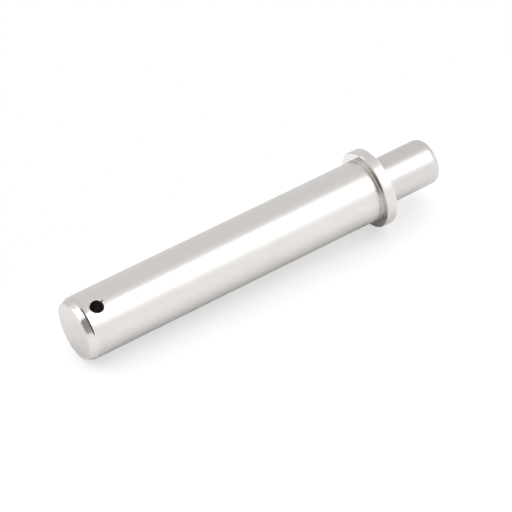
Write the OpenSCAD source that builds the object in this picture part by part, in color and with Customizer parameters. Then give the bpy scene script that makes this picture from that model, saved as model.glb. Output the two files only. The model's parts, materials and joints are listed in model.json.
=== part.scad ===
// Turned retaining pin of stainless steel.
// A plain shank has a lead chamfer and a cross hole for a split pin at one end. A collar at the
// other end stops it in its seat, and a smaller spigot with a rounded end stands beyond the collar.
// The pin stands on its chamfered end: that flat face is z = 0, and +Z runs along the axis.
// The cross hole runs along Y. All sizes are in millimetres.

/* [Shank] */
// Diameter of the shank
shank_d = 10; // [7:0.1:16]
// Length from the flat end to the collar's seating face
shank_l = 52.2; // [20:0.1:120]
// Length of the lead chamfer along the axis
lead_l = 1.1; // [0.4:0.1:2.5]
// Angle between the lead chamfer and the axis
lead_angle = 25; // [15:1:45]
// Fillet that the tool leaves between the shank and the collar
shank_root_r = 0.1; // [0.05:0.05:0.5]

/* [Cross hole] */
// Bore of the cross hole
cross_hole_d = 2.1; // [1:0.1:3.5]
// Plain band between the lead chamfer and the nearest edge of the hole
cross_hole_land = 1.2; // [0.3:0.05:6]
// Width of the bevel where the edge of each mouth is narrowest
mouth_break = 0.06; // [0.03:0.01:0.3]

/* [Collar] */
// Outer diameter of the collar
collar_d = 12.6; // [9:0.1:24]
// Thickness of the collar along the axis
collar_t = 1.8; // [1:0.1:6]
// Bevel on the two outer edges of the collar
collar_break = 0.15; // [0.05:0.05:0.4]

/* [Spigot] */
// Diameter of the spigot
spigot_d = 7.4; // [4:0.1:14]
// Length of the spigot beyond the collar
spigot_l = 10.5; // [4:0.5:30]
// Radius that rounds the edge of the spigot's end
spigot_end_r = 1.3; // [0.3:0.1:1.8]
// Fillet that the tool leaves between the spigot and the collar
spigot_root_r = 0.2; // [0.05:0.05:0.5]

/* [Hidden] */

$fn = 96;
// How far a cutter reaches past the surface that it cuts
overrun = 1;

shank_r = shank_d / 2;
lead_end_r = shank_r - lead_l * tan(lead_angle);
cross_hole_r = cross_hole_d / 2;
cross_hole_z = lead_l + cross_hole_land + cross_hole_r;
// The mouths are saddles: this is how far their lowest point lies from the pin's axis
mouth_low = sqrt(pow(shank_r, 2) - pow(cross_hole_r, 2));
collar_r = collar_d / 2;
collar_back_z = shank_l + collar_t;
spigot_r = spigot_d / 2;

// Half section of a bar's foot, where a fillet leads from the bar to the collar's face
module root_section(bar_r, root_r) {
    difference() {
        square([bar_r + root_r, root_r]);
        translate([bar_r + root_r, root_r])
            circle(r = root_r);
    }
}

// Round bar with its lead chamfer, and the fillet at the collar
module shank() {
    cylinder(h = lead_l, r1 = lead_end_r, r2 = shank_r);
    translate([0, 0, lead_l])
        cylinder(h = shank_l - lead_l, r = shank_r);
    translate([0, 0, shank_l])
        mirror([0, 0, 1])
            rotate_extrude()
                root_section(shank_r, shank_root_r);
}

// Collar with its two outer edges bevelled
module collar() {
    translate([0, 0, shank_l]) {
        cylinder(h = collar_break, r1 = collar_r - collar_break, r2 = collar_r);
        translate([0, 0, collar_break])
            cylinder(h = collar_t - 2 * collar_break, r = collar_r);
        translate([0, 0, collar_t - collar_break])
            cylinder(h = collar_break, r1 = collar_r, r2 = collar_r - collar_break);
    }
}

// Half section of the spigot: a rounded outer corner at its end and a fillet at its root
module spigot_section() {
    square([spigot_r, spigot_l - spigot_end_r]);
    square([spigot_r - spigot_end_r, spigot_l]);
    intersection() {
        translate([spigot_r - spigot_end_r, spigot_l - spigot_end_r])
            circle(r = spigot_end_r);
        square([spigot_r, spigot_l]);
    }
    root_section(spigot_r, spigot_root_r);
}

module spigot() {
    translate([0, 0, collar_back_z])
        rotate_extrude()
            spigot_section();
}

// Drill through the shank, with a countersink that breaks the edge of each mouth
module cross_hole() {
    sink_h = shank_r - mouth_low + mouth_break + overrun;
    translate([0, 0, cross_hole_z])
        rotate([90, 0, 0]) {
            cylinder(h = shank_d + 2 * overrun, r = cross_hole_r, center = true);
            for (side = [0, 1])
                mirror([0, 0, side])
                    translate([0, 0, mouth_low - mouth_break])
                        cylinder(h = sink_h, r1 = cross_hole_r, r2 = cross_hole_r + sink_h);
        }
}

module pin() {
    color("silver")
        difference() {
            union() {
                shank();
                collar();
                spigot();
            }
            cross_hole();
        }
}

pin();
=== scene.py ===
# %% [markdown]
# # A turned steel retaining pin
# The real pin is turned from one stainless bar on a lathe, drilled across near one end and deburred.
# The lathe turns one outline round one axis, so this script does the same: it draws half of the pin's
# outline, and a Geometry Nodes tree turns it round and drills it. Modelling from a cylinder with
# bevels would also do, but then each step would have to be lined up with the next by hand.
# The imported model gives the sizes, in metres. Nothing here moves or resizes it.

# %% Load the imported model
import json
import math

import bpy
from mathutils import Matrix, Vector


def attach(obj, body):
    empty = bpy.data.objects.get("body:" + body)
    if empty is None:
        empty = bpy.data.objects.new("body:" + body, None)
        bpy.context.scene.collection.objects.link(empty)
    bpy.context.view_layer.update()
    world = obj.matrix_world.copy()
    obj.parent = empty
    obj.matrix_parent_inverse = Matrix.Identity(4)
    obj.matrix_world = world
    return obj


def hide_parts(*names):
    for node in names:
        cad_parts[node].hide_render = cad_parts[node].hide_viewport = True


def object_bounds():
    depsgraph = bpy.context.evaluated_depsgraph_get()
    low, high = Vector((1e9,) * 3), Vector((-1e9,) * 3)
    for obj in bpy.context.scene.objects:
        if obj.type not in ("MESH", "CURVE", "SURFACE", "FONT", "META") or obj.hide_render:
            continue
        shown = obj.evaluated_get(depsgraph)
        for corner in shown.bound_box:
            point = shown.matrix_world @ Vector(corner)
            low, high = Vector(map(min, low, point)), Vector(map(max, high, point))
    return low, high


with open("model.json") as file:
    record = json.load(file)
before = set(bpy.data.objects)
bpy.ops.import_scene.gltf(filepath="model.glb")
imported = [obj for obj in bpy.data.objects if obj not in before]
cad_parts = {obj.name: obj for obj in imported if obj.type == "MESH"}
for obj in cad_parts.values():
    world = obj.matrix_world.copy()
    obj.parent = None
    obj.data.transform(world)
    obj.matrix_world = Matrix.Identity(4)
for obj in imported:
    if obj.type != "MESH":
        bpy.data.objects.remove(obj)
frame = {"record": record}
cad_low, cad_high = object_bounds()
print("packed model spans", [round(1000 * (h - l), 2) for l, h in zip(cad_low, cad_high)], "mm")

# %% [markdown]
# ## Sizes
# The record's mounts state the fits of the pin: its shank, its spigot, its cross hole and the two faces
# of its collar. Reading them there keeps the dressed pin on the same sizes as the solid one. Only what
# no mount states is written here: the collar's diameter and how each edge is treated.

# %% Read the fits from the record
MM = 0.001
mounts = {m["name"]: m for m in frame["record"]["mounts"]}


def mount_radius(name):
    """Radius of a round mount in metres."""
    return mounts[name]["dims"]["r_mm"] * MM


pin_length = cad_high[2] - cad_low[2]
shank_radius = mount_radius("shank")
spigot_radius = mount_radius("spigot")
hole_radius = mount_radius("cross_hole")
hole_height = mounts["cross_hole"]["pos_m"][2]
collar_front = mounts["shoulder_face"]["pos_m"][2]
collar_back = mounts["collar_back_face"]["pos_m"][2]

COLLAR_RADIUS = 6.3 * MM
COLLAR_BREAK = 0.15 * MM
LEAD_LENGTH = 1.1 * MM
LEAD_ANGLE = math.radians(25)
SHANK_ROOT_RADIUS = 0.10 * MM
SPIGOT_END_RADIUS = 1.3 * MM
SPIGOT_ROOT_RADIUS = 0.2 * MM
MOUTH_BREAK = 0.06 * MM
print("shank", round(2 * shank_radius / MM, 2), "mm, hole", round(hole_height / MM, 2), "mm from the end")

# %% [markdown]
# ## Camera
# The pin stands upright in its own frame, but in the picture it lies on a table. Laying the pin down
# would be easier to imagine, but whoever uses the part expects it to stand. So the camera tips over
# instead. Its place follows from what the picture shows: how steeply the pin's axis rises in the
# frame, how far it leans away from the viewer, how far round the pin the hole has turned, and where
# the middle of the chamfered end falls.

# %% Place the camera
FRAME_PIXELS = 512
SENSOR_WIDTH = 36.0
AXIS_RISE = math.radians(26.09)
AXIS_RECEDE = math.radians(22.5)
HOLE_TURN = math.radians(21.5)
CAMERA_DISTANCE = 0.368
FOCAL_PIXELS = 2516.0
END_PIXEL = (73.9, 331.6)

axis_seen = Vector((
    math.cos(AXIS_RISE) * math.cos(AXIS_RECEDE),
    math.sin(AXIS_RISE) * math.cos(AXIS_RECEDE),
    -math.sin(AXIS_RECEDE),
))
towards_seen = (Vector((0, 0, 1)) - axis_seen * axis_seen.z).normalized()
upwards_seen = towards_seen.cross(axis_seen)
upwards_seen *= math.copysign(1, upwards_seen.y)
hole_seen = towards_seen * math.cos(HOLE_TURN) + upwards_seen * math.sin(HOLE_TURN)
across_seen = axis_seen.cross(hole_seen)
camera_to_row = Matrix((across_seen, -hole_seen, axis_seen))

metres_per_pixel = CAMERA_DISTANCE / FOCAL_PIXELS
end_seen = Vector((
    (END_PIXEL[0] - FRAME_PIXELS / 2) * metres_per_pixel,
    (FRAME_PIXELS / 2 - END_PIXEL[1]) * metres_per_pixel,
    -CAMERA_DISTANCE,
))
camera_data = bpy.data.cameras.new("camera")
camera_data.sensor_width = SENSOR_WIDTH
camera_data.lens = FOCAL_PIXELS / FRAME_PIXELS * SENSOR_WIDTH
camera_data.clip_start = 0.01
camera = bpy.data.objects.new("camera", camera_data)
camera_place = camera_to_row @ -end_seen
camera.matrix_world = Matrix.Translation(camera_place) @ camera_to_row.to_4x4()
bpy.context.scene.collection.objects.link(camera)
bpy.context.scene.camera = camera
print("camera at", [round(v, 3) for v in camera_place], "lens", round(camera_data.lens, 1), "mm")


def around(degrees):
    """Direction square to the axis, turned from the camera towards the top of the picture."""
    angle = math.radians(degrees)
    return camera_to_row @ (towards_seen * math.cos(angle) + upwards_seen * math.sin(angle))


# %% [markdown]
# ## Outline
# The outline is half a section of the pin, as pairs of radius and height, from the middle of the flat
# end to the middle of the rounded one. Every turned edge is broken a little, or it would catch no
# light, so each corner becomes an arc. The edge behind the lead chamfer is almost flat, so its arc can
# be a wide one, and shows as a soft dark line. A Bevel modifier could round the edges too, but
# it has one width for all of them. One guard point before and after each arc keeps the shading
# of the straight stretches straight. Each stretch also carries its finish: the marks that its tool
# leaves, and in the colour painted shade on some stretches and a painted highlight on others.

# %% Draw the outline
ARC_STEPS = 6
END_ARC_STEPS = 18
GUARD_SHARE = 0.4
FINE_EDGE = 0.03 * MM
SOFT_EDGE = 0.06 * MM
LEAD_EDGE = 0.8 * MM
# The satin and drilled finishes carry painted shade in their colour, the deburred one a painted highlight.
GROUND, SATIN_PAINTED_SHADE, BRIGHT, CHAMFERED, DRILLED_PAINTED_SHADE, DEBURRED_PAINTED_HIGHLIGHT = range(6)


def rounded(before, corner, after, radius, steps):
    """Points of an arc that rounds a corner, with a guard point on each of its two sides."""
    incoming = (before - corner).normalized()
    outgoing = (after - corner).normalized()
    half = incoming.angle(outgoing) / 2
    reach = radius / math.tan(half)
    guard = reach + GUARD_SHARE * radius
    middle = corner + (incoming + outgoing).normalized() * (radius / math.sin(half))
    start = (corner + incoming * reach - middle).normalized()
    end = (corner + outgoing * reach - middle).normalized()
    arc = [middle + radius * start.slerp(end, k / steps) for k in range(steps + 1)]
    return [corner + incoming * guard] + arc + [corner + outgoing * guard]


def soften(corners):
    """Turns corners of (radius, height, rounding, steps, finish) into points with a finish each."""
    places = [Vector(c[:2]) for c in corners]
    points = []
    for k, (_, _, rounding, steps, finish) in enumerate(corners):
        if rounding:
            arc = rounded(places[k - 1], places[k], places[k + 1], rounding, steps)
            points += [(p.x, p.y, corners[k - 1][4]) for p in arc[:-1]]
            points.append((arc[-1].x, arc[-1].y, finish))
        else:
            points.append((places[k].x, places[k].y, finish))
    return points


lead_end_radius = shank_radius - LEAD_LENGTH * math.tan(LEAD_ANGLE)
# The satin stretches carry painted shade in their colour.
pin_corners = [
    (0, 0, 0, 0, SATIN_PAINTED_SHADE),
    (lead_end_radius, 0, SOFT_EDGE, ARC_STEPS, CHAMFERED),
    (shank_radius, LEAD_LENGTH, LEAD_EDGE, ARC_STEPS, GROUND),
    (shank_radius, collar_front, SHANK_ROOT_RADIUS, ARC_STEPS, BRIGHT),
    (COLLAR_RADIUS - COLLAR_BREAK, collar_front, FINE_EDGE, ARC_STEPS, BRIGHT),
    (COLLAR_RADIUS, collar_front + COLLAR_BREAK, FINE_EDGE, ARC_STEPS, GROUND),
    # The collar's back edge break takes the deburred finish, with its painted highlight.
    (COLLAR_RADIUS, collar_back - COLLAR_BREAK, FINE_EDGE, ARC_STEPS, DEBURRED_PAINTED_HIGHLIGHT),
    (COLLAR_RADIUS - COLLAR_BREAK, collar_back, FINE_EDGE, ARC_STEPS, SATIN_PAINTED_SHADE),
    (spigot_radius, collar_back, SPIGOT_ROOT_RADIUS, ARC_STEPS, SATIN_PAINTED_SHADE),
    (spigot_radius, pin_length, SPIGOT_END_RADIUS, END_ARC_STEPS, SATIN_PAINTED_SHADE),
    (0, pin_length, 0, 0, SATIN_PAINTED_SHADE),
]
pin_outline = soften(pin_corners)
print("pin outline has", len(pin_outline), "points")

# %% [markdown]
# ## Drill
# The cross hole is cut by a solid of its own, turned from a second outline: a drill with a countersink at
# each end. A plain cylinder would be simpler, but it would leave the mouths sharp. On a round bar the
# mouth of a cross hole is a saddle, so the countersink starts just below the saddle's lowest point,
# as a deburring tool does when it has touched the whole rim.

# %% Draw the drill
OVERRUN = 1.0 * MM
mouth_low = math.sqrt(shank_radius**2 - hole_radius**2)
sink_start = mouth_low - MOUTH_BREAK
drill_end = shank_radius + OVERRUN
flare = hole_radius + drill_end - sink_start
# The countersinks take the deburred finish with its painted highlight, and the bore takes the drilled
# finish with its painted shade.
drill_corners = [
    (0, -drill_end, 0, 0, DRILLED_PAINTED_SHADE),
    (flare, -drill_end, 0, 0, DEBURRED_PAINTED_HIGHLIGHT),
    (hole_radius, -sink_start, FINE_EDGE, ARC_STEPS, DRILLED_PAINTED_SHADE),
    (hole_radius, sink_start, FINE_EDGE, ARC_STEPS, DEBURRED_PAINTED_HIGHLIGHT),
    (flare, drill_end, 0, 0, DRILLED_PAINTED_SHADE),
    (0, drill_end, 0, 0, DRILLED_PAINTED_SHADE),
]
drill_outline = soften(drill_corners)
print("countersink starts", round(sink_start / MM, 2), "mm from the axis")


def outline_object(name, outline):
    """A chain of edges in the XZ plane that carries its finish on each point."""
    mesh = bpy.data.meshes.new(name)
    links = [(k, k + 1) for k in range(len(outline) - 1)]
    mesh.from_pydata([(radius, 0, height) for radius, height, _ in outline], links, [])
    finish = mesh.attributes.new("finish", "INT", "POINT")
    finish.data.foreach_set("value", [point[2] for point in outline])
    item = bpy.data.objects.new(name, mesh)
    bpy.context.scene.collection.objects.link(item)
    return item


# %% [markdown]
# ## Nick
# The rim of the hole has a small nick on the side of the collar. A ball that is half sunk into the
# shank makes a dent of that kind, so the tree takes one away from the steel. The dent also takes the
# bore's dark colour, which is painted shade. Painting it dark alone would be quicker, but a painted
# nick would have no rim to catch the light.

# %% Place the nick
NICK_RADIUS = 0.2 * MM
NICK_RISE = 1.06 * MM
NICK_PAST_HOLE = 4.8
nick_turn = math.degrees(HOLE_TURN) + NICK_PAST_HOLE
nick_place = around(nick_turn) * shank_radius + Vector((0, 0, hole_height + NICK_RISE))
print("nick lies", round(nick_place.z / MM, 2), "mm from the end")

# %% [markdown]
# ## Steel
# Every surface is the same stainless steel, but each tool leaves its own marks. Turning, facing and
# grinding all leave rings round the axis, so one pattern serves them: noise that changes quickly with
# radius and height and not at all round the pin. An image of scratches would need a UV map and would
# blur close up. The noise is read from Object coordinates, so it stays on the steel wherever the
# pin goes. The finishes differ in roughness and in how deep and how wide their rings are. The lead
# chamfer has the deepest and widest ones, which break up what it mirrors into streaks. Three finishes
# also have a colour of their own that is painted light: the end face, the collar's back face and the
# spigot are a little darker than the steel, as painted shade; the bore and the nick are much darker,
# as painted shade; the countersinks and the collar's back edge are lighter, as a painted highlight.

# %% Make the steel finishes
STEEL_COLOUR = (0.62, 0.595, 0.575, 1.0)
# A darker copy of the steel colour: painted shade on the end face, the collar's back face and the spigot.
SATIN_PAINTED_SHADE_COLOUR = (0.565, 0.54, 0.525, 1.0)
# A lighter copy of the steel colour: a painted highlight on the countersinks and the collar's back edge.
EDGE_PAINTED_HIGHLIGHT_COLOUR = (0.93, 0.90, 0.88, 1.0)
# A dark copy of the steel colour: painted shade in the bore and the nick.
BORE_PAINTED_SHADE_COLOUR = (0.32, 0.27, 0.26, 1.0)
FINE_RINGS = 9000.0
COARSE_RINGS = 1800.0
CLOUD_SCALE = 350.0
CLOUD_RANGE = (0.3, 0.7)
CLOUD_SHADE = 0.93


def add_node(tree, kind, links=None, **settings):
    """Adds a node, sets its properties, and links or sets its inputs by name or number."""
    node = tree.nodes.new(kind)
    for key, value in settings.items():
        setattr(node, key, value)
    for socket, value in (links or {}).items():
        if isinstance(value, bpy.types.NodeSocket):
            tree.links.new(value, node.inputs[socket])
        else:
            node.inputs[socket].default_value = value
    return node


def lathe_rings(tree, scale):
    """Value from 0 to 1 that runs in rings round the pin's axis, with scale rings or so to the metre."""
    place = add_node(tree, "ShaderNodeTexCoord").outputs["Object"]
    split = add_node(tree, "ShaderNodeSeparateXYZ", {0: place})
    flat = add_node(tree, "ShaderNodeCombineXYZ", {0: split.outputs[0], 1: split.outputs[1]})
    radius = add_node(tree, "ShaderNodeVectorMath", {0: flat.outputs[0]}, operation="LENGTH")
    ring_place = add_node(
        tree, "ShaderNodeCombineXYZ", {0: radius.outputs["Value"], 2: split.outputs[2]}
    )
    rings = add_node(
        tree,
        "ShaderNodeTexNoise",
        {"Vector": ring_place.outputs[0], "Scale": scale, "Detail": 3.0, "Roughness": 0.6},
    )
    return rings.outputs[0]


def steel(name, colour, roughness, spread, ring_depth, ring_scale=FINE_RINGS):
    """Bare steel whose roughness varies by spread in soft clouds, with rings ring_depth metres deep."""
    material = bpy.data.materials.new(name)
    material.use_nodes = True
    tree = material.node_tree
    surface = tree.nodes["Principled BSDF"]
    surface.inputs["Metallic"].default_value = 1.0
    place = add_node(tree, "ShaderNodeTexCoord").outputs["Object"]
    clouds = add_node(
        tree, "ShaderNodeTexNoise", {"Vector": place, "Scale": CLOUD_SCALE, "Detail": 4.0}
    )
    rough = add_node(
        tree,
        "ShaderNodeMapRange",
        {"Value": clouds.outputs[0], "From Min": CLOUD_RANGE[0], "From Max": CLOUD_RANGE[1],
         "To Min": roughness - spread, "To Max": roughness + spread},
    )
    shade = tuple(CLOUD_SHADE * part for part in colour[:3]) + (1.0,)
    tint = add_node(
        tree, "ShaderNodeMix", {"Factor": clouds.outputs[0], 6: colour, 7: shade}, data_type="RGBA"
    )
    bump = add_node(
        tree,
        "ShaderNodeBump",
        {"Strength": 1.0, "Distance": ring_depth, "Height": lathe_rings(tree, ring_scale)},
    )
    tree.links.new(rough.outputs[0], surface.inputs["Roughness"])
    tree.links.new(tint.outputs[2], surface.inputs["Base Color"])
    tree.links.new(bump.outputs[0], surface.inputs["Normal"])
    return material


MICRON = 0.001 * MM
finishes = {
    GROUND: steel("ground_steel", STEEL_COLOUR, roughness=0.34, spread=0.03, ring_depth=0.6 * MICRON),
    # The satin finish is darker than the steel: painted shade.
    SATIN_PAINTED_SHADE: steel("satin_steel_painted_shade", SATIN_PAINTED_SHADE_COLOUR, roughness=0.36, spread=0.04, ring_depth=1.2 * MICRON),
    BRIGHT: steel("bright_steel", STEEL_COLOUR, roughness=0.12, spread=0.03, ring_depth=0.8 * MICRON),
    CHAMFERED: steel(
        "chamfered_steel", STEEL_COLOUR, roughness=0.14, spread=0.03,
        ring_depth=27 * MICRON, ring_scale=COARSE_RINGS,
    ),
    # The drilled finish is dark: painted shade in the hole.
    DRILLED_PAINTED_SHADE: steel("drilled_bore_painted_shade", BORE_PAINTED_SHADE_COLOUR, roughness=0.5, spread=0.1, ring_depth=4 * MICRON),
    # The deburred finish is lighter than the steel: painted highlight.
    DEBURRED_PAINTED_HIGHLIGHT: steel("deburred_edge_painted_highlight", EDGE_PAINTED_HIGHLIGHT_COLOUR, roughness=0.3, spread=0.05, ring_depth=0.8 * MICRON),
}
print("finishes:", ", ".join(m.name for m in finishes.values()))

# %% [markdown]
# ## Lathe
# A Geometry Nodes tree is the lathe. It makes a grid with a row for each outline point and a column for
# each step round the axis. Each vertex of the grid looks up its outline point and is turned by
# its column's angle. A Screw modifier turns an outline as well, but it would lose the finish that
# each stretch carries. The two edges of the grid meet behind the pin and are merged there.

# %% Build the lathe tree
MERGE_DISTANCE = 0.0005 * MM


def new_tree(name, inputs):
    """An empty Geometry Nodes tree with the given inputs and one geometry output."""
    tree = bpy.data.node_groups.new(name, "GeometryNodeTree")
    for label, kind in inputs:
        tree.interface.new_socket(label, in_out="INPUT", socket_type=kind)
    tree.interface.new_socket("Geometry", in_out="OUTPUT", socket_type="NodeSocketGeometry")
    return tree


def calculate(tree, operation, first, second):
    """Result of a Math node."""
    return add_node(tree, "ShaderNodeMath", {0: first, 1: second}, operation=operation).outputs[0]


def look_up(tree, outline, index, value, data_type):
    """Value of the outline's point with that index."""
    node = add_node(tree, "GeometryNodeSampleIndex", data_type=data_type, domain="POINT")
    tree.links.new(outline, node.inputs["Geometry"])
    tree.links.new(value, node.inputs["Value"])
    tree.links.new(index, node.inputs["Index"])
    return node.outputs[0]


def lathe_tree():
    """Tree that turns an outline in the XZ plane round the Z axis."""
    tree = new_tree("lathe", [("Outline", "NodeSocketGeometry"), ("Steps", "NodeSocketInt")])
    given = add_node(tree, "NodeGroupInput")
    outline, steps = given.outputs["Outline"], given.outputs["Steps"]
    size = add_node(tree, "GeometryNodeAttributeDomainSize", {"Geometry": outline})
    columns = calculate(tree, "ADD", steps, 1)
    grid = add_node(
        tree, "GeometryNodeMeshGrid", {"Vertices X": size.outputs["Point Count"], "Vertices Y": columns}
    )
    index = add_node(tree, "GeometryNodeInputIndex").outputs[0]
    row = calculate(tree, "FLOOR", calculate(tree, "DIVIDE", index, columns), 0)
    column = calculate(tree, "MODULO", index, columns)
    turn = calculate(tree, "MULTIPLY", calculate(tree, "DIVIDE", column, steps), 2 * math.pi)
    position = add_node(tree, "GeometryNodeInputPosition").outputs[0]
    point = look_up(tree, outline, row, position, "FLOAT_VECTOR")
    turned = add_node(
        tree, "ShaderNodeVectorRotate", {"Vector": point, "Angle": turn}, rotation_type="Z_AXIS"
    )
    placed = add_node(
        tree, "GeometryNodeSetPosition", {"Geometry": grid.outputs[0], "Position": turned.outputs[0]}
    )
    face_row = calculate(tree, "FLOOR", calculate(tree, "DIVIDE", index, steps), 0)
    finish = add_node(tree, "GeometryNodeInputNamedAttribute", {"Name": "finish"}, data_type="INT")
    kept = add_node(
        tree,
        "GeometryNodeStoreNamedAttribute",
        {"Geometry": placed.outputs[0], "Name": "finish",
         "Value": look_up(tree, outline, face_row, finish.outputs[0], "INT")},
        data_type="INT",
        domain="FACE",
    )
    closed = add_node(
        tree, "GeometryNodeMergeByDistance", {"Geometry": kept.outputs[0], "Distance": MERGE_DISTANCE}
    )
    outwards = add_node(tree, "GeometryNodeFlipFaces", {"Mesh": closed.outputs[0]})
    add_node(tree, "NodeGroupOutput", {0: outwards.outputs[0]})
    return tree


lathe = lathe_tree()
print("lathe tree has", len(lathe.nodes), "nodes")

# %% [markdown]
# ## Drill press
# A second tree turns the pin and the drill with the first one, stands the drill across the pin and cuts
# it out, and the nick with it. Then it keeps sharp edges sharp and gives every face the material
# of its finish. The cut is an exact one, because a faster one can leave gaps along the saddle.

# %% Build the machining tree
PIN_STEPS = 288
DRILL_STEPS = 96
NICK_DIVISIONS = 3
SHARP_ANGLE = math.radians(25)


def machining_tree():
    """Tree that turns the pin, drills it across and gives every face its finish."""
    inputs = [
        ("Outline", "NodeSocketGeometry"),
        ("Drill outline", "NodeSocketObject"),
        ("Pin steps", "NodeSocketInt"),
        ("Drill steps", "NodeSocketInt"),
        ("Drill height", "NodeSocketFloat"),
        ("Nick place", "NodeSocketVector"),
        ("Nick radius", "NodeSocketFloat"),
    ]
    inputs += [(material.name, "NodeSocketMaterial") for material in finishes.values()]
    tree = new_tree("machining", inputs)
    given = add_node(tree, "NodeGroupInput").outputs
    pin = add_node(
        tree, "GeometryNodeGroup", {0: given["Outline"], 1: given["Pin steps"]}, node_tree=lathe
    )
    drill_shape = add_node(tree, "GeometryNodeObjectInfo", {"Object": given["Drill outline"]})
    drill = add_node(
        tree,
        "GeometryNodeGroup",
        {0: drill_shape.outputs["Geometry"], 1: given["Drill steps"]},
        node_tree=lathe,
    )
    lift = add_node(tree, "ShaderNodeCombineXYZ", {2: given["Drill height"]})
    crosswise = add_node(
        tree,
        "GeometryNodeTransform",
        {"Geometry": drill.outputs[0], "Translation": lift.outputs[0], "Rotation": (math.pi / 2, 0, 0)},
    )
    dent = add_node(
        tree, "GeometryNodeMeshIcoSphere", {"Radius": given["Nick radius"], "Subdivisions": NICK_DIVISIONS}
    )
    # The dent takes the drilled finish, whose dark colour is painted shade.
    dent_finish = add_node(
        tree,
        "GeometryNodeStoreNamedAttribute",
        {"Geometry": dent.outputs[0], "Name": "finish", "Value": DRILLED_PAINTED_SHADE},
        data_type="INT",
        domain="FACE",
    )
    dent_place = add_node(
        tree,
        "GeometryNodeTransform",
        {"Geometry": dent_finish.outputs[0], "Translation": given["Nick place"]},
    )
    drilled = add_node(
        tree, "GeometryNodeMeshBoolean", {"Mesh 1": pin.outputs[0]}, operation="DIFFERENCE", solver="EXACT"
    )
    for cutter in (crosswise, dent_place):
        tree.links.new(cutter.outputs[0], drilled.inputs["Mesh 2"])
    angle = add_node(tree, "GeometryNodeInputMeshEdgeAngle").outputs["Unsigned Angle"]
    is_soft = add_node(
        tree, "FunctionNodeCompare", {0: angle, 1: SHARP_ANGLE}, data_type="FLOAT", operation="LESS_THAN"
    )
    smooth_edges = add_node(
        tree,
        "GeometryNodeSetShadeSmooth",
        {"Geometry": drilled.outputs[0], "Shade Smooth": is_soft.outputs[0]},
        domain="EDGE",
    )
    shape = add_node(tree, "GeometryNodeRealizeInstances", {0: smooth_edges.outputs[0]}).outputs[0]
    finish = add_node(tree, "GeometryNodeInputNamedAttribute", {"Name": "finish"}, data_type="INT")
    for number, material in finishes.items():
        chosen = add_node(
            tree,
            "FunctionNodeCompare",
            {2: finish.outputs[0], 3: number},
            data_type="INT",
            operation="EQUAL",
        )
        shape = add_node(
            tree,
            "GeometryNodeSetMaterial",
            {"Geometry": shape, "Selection": chosen.outputs[0], "Material": given[material.name]},
        ).outputs[0]
    add_node(tree, "NodeGroupOutput", {0: shape})
    return tree


machining = machining_tree()
print("machining tree has", len(machining.nodes), "nodes")

# %% [markdown]
# ## Pin
# Both trees now run on an outline and leave one closed mesh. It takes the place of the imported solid
# and rides on the same body, so the outlines and the modifier can go.

# %% Turn and drill the pin
def machined(name):
    """Runs the machining tree and returns its result as a plain mesh object."""
    blank = outline_object("blank", pin_outline)
    drill = outline_object("drill", drill_outline)
    modifier = blank.modifiers.new("machining", "NODES")
    modifier.node_group = machining
    values = {
        "Drill outline": drill,
        "Pin steps": PIN_STEPS,
        "Drill steps": DRILL_STEPS,
        "Drill height": hole_height,
        "Nick place": nick_place,
        "Nick radius": NICK_RADIUS,
    }
    values.update({material.name: material for material in finishes.values()})
    for socket in machining.interface.items_tree:
        if socket.in_out == "INPUT" and socket.name in values:
            modifier[socket.identifier] = values[socket.name]
    graph = bpy.context.evaluated_depsgraph_get()
    mesh = bpy.data.meshes.new_from_object(blank.evaluated_get(graph), depsgraph=graph)
    mesh.name = name
    for tool in (blank, drill):
        bpy.data.objects.remove(tool)
    item = bpy.data.objects.new(name, mesh)
    bpy.context.scene.collection.objects.link(item)
    return item


pin = machined("turned_pin")
used = {}
for face in pin.data.polygons:
    label = pin.data.materials[face.material_index].name
    used[label] = used.get(label, 0) + 1
print(pin.name, "has", len(pin.data.polygons), "faces:", used)

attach(pin, "root")
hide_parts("pin")

# %% [markdown]
# ## Table
# The pin lies on its collar and on the edge behind its lead chamfer, so the table is a plane that
# touches both circles. A white surface in a bright room is lost in the picture except for the
# shadow on it. So the camera sees some of it as plain white, and only the rest is shaded. It is
# seen from above only: from behind it lets the camera through, or it would hide the pin from one side.

# %% Lay the table
TABLE_TURN = 39.7
TABLE_FRONT = 0.8
TABLE_BACK = 0.018
TABLE_SIDE = 0.6
TABLE_COLOUR = (0.9, 0.9, 0.9, 1.0)
TABLE_WHITE = 0.6
table_up = around(TABLE_TURN)
axis = Vector((0, 0, 1))
rise = COLLAR_RADIUS - shank_radius
run = collar_front + COLLAR_BREAK - LEAD_LENGTH
table_tilt = math.atan2(rise, run)
table_normal = (table_up * math.cos(table_tilt) + axis * math.sin(table_tilt)).normalized()
touch = axis * LEAD_LENGTH - table_up * shank_radius
print("table leans", round(math.degrees(table_tilt), 2), "degrees from the axis")


def plane_frame(middle, normal, lengthwise):
    """Matrix that puts a flat object at middle, facing normal, with its Y side along lengthwise."""
    z = normal.normalized()
    y = (lengthwise - z * lengthwise.dot(z)).normalized()
    return Matrix.Translation(middle) @ Matrix((y.cross(z), y, z)).transposed().to_4x4()


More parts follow.
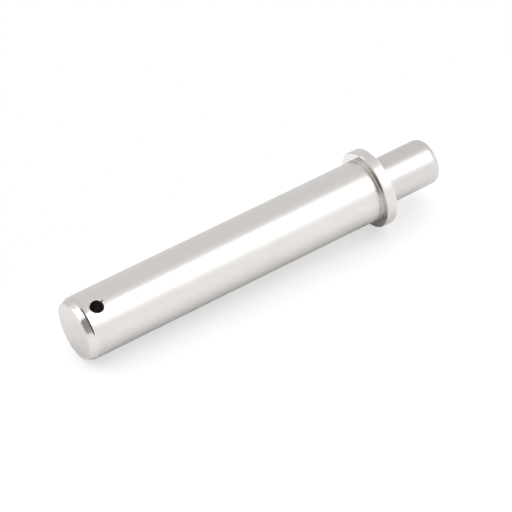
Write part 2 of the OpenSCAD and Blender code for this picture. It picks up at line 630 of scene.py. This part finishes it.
def table_material():
    """Matt white that the camera sees as white where nothing shades it, and sees through from behind."""
    material = bpy.data.materials.new("table_white")
    material.use_nodes = True
    tree = material.node_tree
    tree.nodes.clear()
    path = add_node(tree, "ShaderNodeLightPath").outputs
    matt = add_node(tree, "ShaderNodeBsdfDiffuse", {"Color": TABLE_COLOUR})
    white = add_node(tree, "ShaderNodeEmission", {"Strength": 1.0})
    share = calculate(tree, "MULTIPLY", path["Is Camera Ray"], TABLE_WHITE)
    seen = add_node(tree, "ShaderNodeMixShader", {0: share, 1: matt.outputs[0], 2: white.outputs[0]})
    behind = add_node(tree, "ShaderNodeNewGeometry").outputs["Backfacing"]
    through = calculate(tree, "MULTIPLY", behind, path["Is Camera Ray"])
    clear = add_node(tree, "ShaderNodeBsdfTransparent")
    mixed = add_node(
        tree, "ShaderNodeMixShader", {0: through, 1: seen.outputs[0], 2: clear.outputs[0]}
    )
    add_node(tree, "ShaderNodeOutputMaterial", {0: mixed.outputs[0]})
    return material


along = (axis - table_normal * axis.dot(table_normal)).normalized()
front = table_normal.cross(along)
front *= math.copysign(1, front.dot(around(0)))
table_mesh = bpy.data.meshes.new("table")
table_mesh.from_pydata(
    [
        touch + front * depth + along * side
        for depth, side in (
            (TABLE_FRONT, -TABLE_SIDE),
            (TABLE_FRONT, TABLE_SIDE),
            (-TABLE_BACK, TABLE_SIDE),
            (-TABLE_BACK, -TABLE_SIDE),
        )
    ],
    [],
    [(0, 1, 2, 3)],
)
if table_mesh.polygons[0].normal.dot(table_normal) < 0:
    table_mesh.flip_normals()
table_mesh.materials.append(table_material())
table = bpy.data.objects.new("table", table_mesh)
bpy.context.scene.collection.objects.link(table)
print("table is", round(TABLE_FRONT + TABLE_BACK, 3), "by", 2 * TABLE_SIDE, "m")

# %% [markdown]
# ## Room
# Steel shows the room more than itself, so the room is set by what the shank mirrors: it is a little
# darker behind the pin, which gives the grey stripe along the top. An image of a studio would do
# this too, but a swing of one value needs no file. The table is matt and shows no reflection. For
# matt things the room is a sky that shines from behind, so the shadow falls towards the camera.

# %% Set the world
BACK_ROOM = 0.95
FRONT_ROOM = 1.34
ROOM_TURN = 100.0
ROOM_SWING = (-0.2, 0.6)
BACK_SKY = 2.05
FRONT_SKY = 0.12
SKY_TURN = 85.0
SKY_SWING = (0.0, 0.9)


def swing_round(tree, turn, swing, front, back):
    """Value that goes from front to back as the direction swings towards a turn round the pin."""
    direction = add_node(tree, "ShaderNodeTexCoord").outputs["Generated"]
    lean = add_node(
        tree, "ShaderNodeVectorMath", {0: direction, 1: around(turn)}, operation="DOT_PRODUCT"
    )
    return add_node(
        tree,
        "ShaderNodeMapRange",
        {"Value": lean.outputs["Value"], "From Min": swing[0], "From Max": swing[1],
         "To Min": front, "To Max": back},
        interpolation_type="SMOOTHSTEP",
    ).outputs[0]


def room_light():
    """World that is white to the camera, a room with a darker back to steel, and a sky to matt things."""
    world = bpy.data.worlds.new("studio")
    world.use_nodes = True
    tree = world.node_tree
    tree.nodes.clear()
    path = add_node(tree, "ShaderNodeLightPath").outputs
    room = swing_round(tree, ROOM_TURN, ROOM_SWING, FRONT_ROOM, BACK_ROOM)
    sky = swing_round(tree, SKY_TURN, SKY_SWING, FRONT_SKY, BACK_SKY)
    lit = add_node(tree, "ShaderNodeMix", {0: path["Is Glossy Ray"], 2: sky, 3: room})
    strength = add_node(
        tree, "ShaderNodeMix", {0: path["Is Camera Ray"], 2: lit.outputs[0], 3: 1.0}
    )
    glow = add_node(
        tree, "ShaderNodeBackground", {"Color": (1, 1, 1, 1), "Strength": strength.outputs[0]}
    )
    add_node(tree, "ShaderNodeOutputWorld", {0: glow.outputs[0]})
    return world


bpy.context.scene.world = room_light()
print("room is", FRONT_ROOM, "in front of the pin and", BACK_ROOM, "behind it")

# %% [markdown]
# ## Softboxes
# Two soft lamps stand out from the room. The shank mirrors a ring of directions that leans towards the
# collar, and the overhead lamp fills a piece of that ring: that is the white stripe. The near lamp leans
# the other way, where only the lead chamfer looks, and lights a part of it. Small hard lamps
# would give thin lines instead, because steel shows a lamp in the lamp's own shape.

# %% Hang the softboxes
SOFTBOX_DISTANCE = 0.40
SOFTBOXES = {
    "overhead_softbox": {"turn": 13.5, "lean": 25.0, "size": (0.31, 0.28), "power": 0.5},
    "near_softbox": {"turn": 62.0, "lean": -35.0, "size": (0.62, 0.12), "power": 0.33},
}
pin_middle = axis * pin_length / 2


def towards(turn, lean):
    """Direction in degrees, turned round the pin from the camera and leaning towards the collar."""
    lean = math.radians(lean)
    return around(turn) * math.cos(lean) + axis * math.sin(lean)


def hang_softbox(name, turn, lean, size, power):
    """Rectangular lamp that faces the pin's middle."""
    direction = towards(turn, lean)
    data = bpy.data.lights.new(name, "AREA")
    data.shape = "RECTANGLE"
    data.size, data.size_y = size
    data.energy = power
    lamp = bpy.data.objects.new(name, data)
    lamp.matrix_world = plane_frame(pin_middle + direction * SOFTBOX_DISTANCE, direction, axis)
    lamp.visible_camera = False
    bpy.context.scene.collection.objects.link(lamp)


for softbox_name, place in SOFTBOXES.items():
    hang_softbox(softbox_name, **place)
print("softboxes:", ", ".join(SOFTBOXES))

# %% [markdown]
# ## Dark camera
# The corner between the shank and the collar is two mirrors set square, so it sends the eye straight
# back to where it looks from. What it shows is the dark camera. The chamfer looks a little lower, and
# shows the stand below the camera. So two panels that only reflections see stand there. Darkening
# the steel itself would fail, because the dark bands have to move when the camera does.

# %% Stand the dark panels
PANEL_DISTANCE = 0.38
DARK_PANELS = {
    "dark_camera": {"turn": 11.0, "lean": -18.0, "size": (0.86, 0.20), "colour": (0.03, 0.026, 0.024, 1.0)},
    "dark_stand": {"turn": -2.0, "lean": -34.0, "size": (0.36, 0.06), "colour": (0.28, 0.265, 0.25, 1.0)},
}


def dark_panel(name, turn, lean, size, colour):
    """Panel that faces the pin's middle and that only reflections show."""
    direction = towards(turn, lean)
    width, height = (side / 2 for side in size)
    mesh = bpy.data.meshes.new(name)
    mesh.from_pydata(
        [(-width, -height, 0), (width, -height, 0), (width, height, 0), (-width, height, 0)],
        [],
        [(0, 1, 2, 3)],
    )
    material = bpy.data.materials.new(name)
    material.use_nodes = True
    surface = material.node_tree.nodes["Principled BSDF"]
    surface.inputs["Base Color"].default_value = colour
    surface.inputs["Specular IOR Level"].default_value = 0.0
    mesh.materials.append(material)
    panel = bpy.data.objects.new(name, mesh)
    bpy.context.scene.collection.objects.link(panel)
    panel.matrix_world = plane_frame(pin_middle + direction * PANEL_DISTANCE, -direction, axis)
    for kind in ("camera", "diffuse", "transmission", "shadow"):
        setattr(panel, "visible_" + kind, False)
    return panel


for panel_name, place in DARK_PANELS.items():
    dark_panel(panel_name, **place)
print("panels:", ", ".join(DARK_PANELS))

# %% [markdown]
# ## Finish
# The Standard view shows each colour as it is written.

# %% Finish
bpy.context.scene.view_settings.view_transform = "Standard"
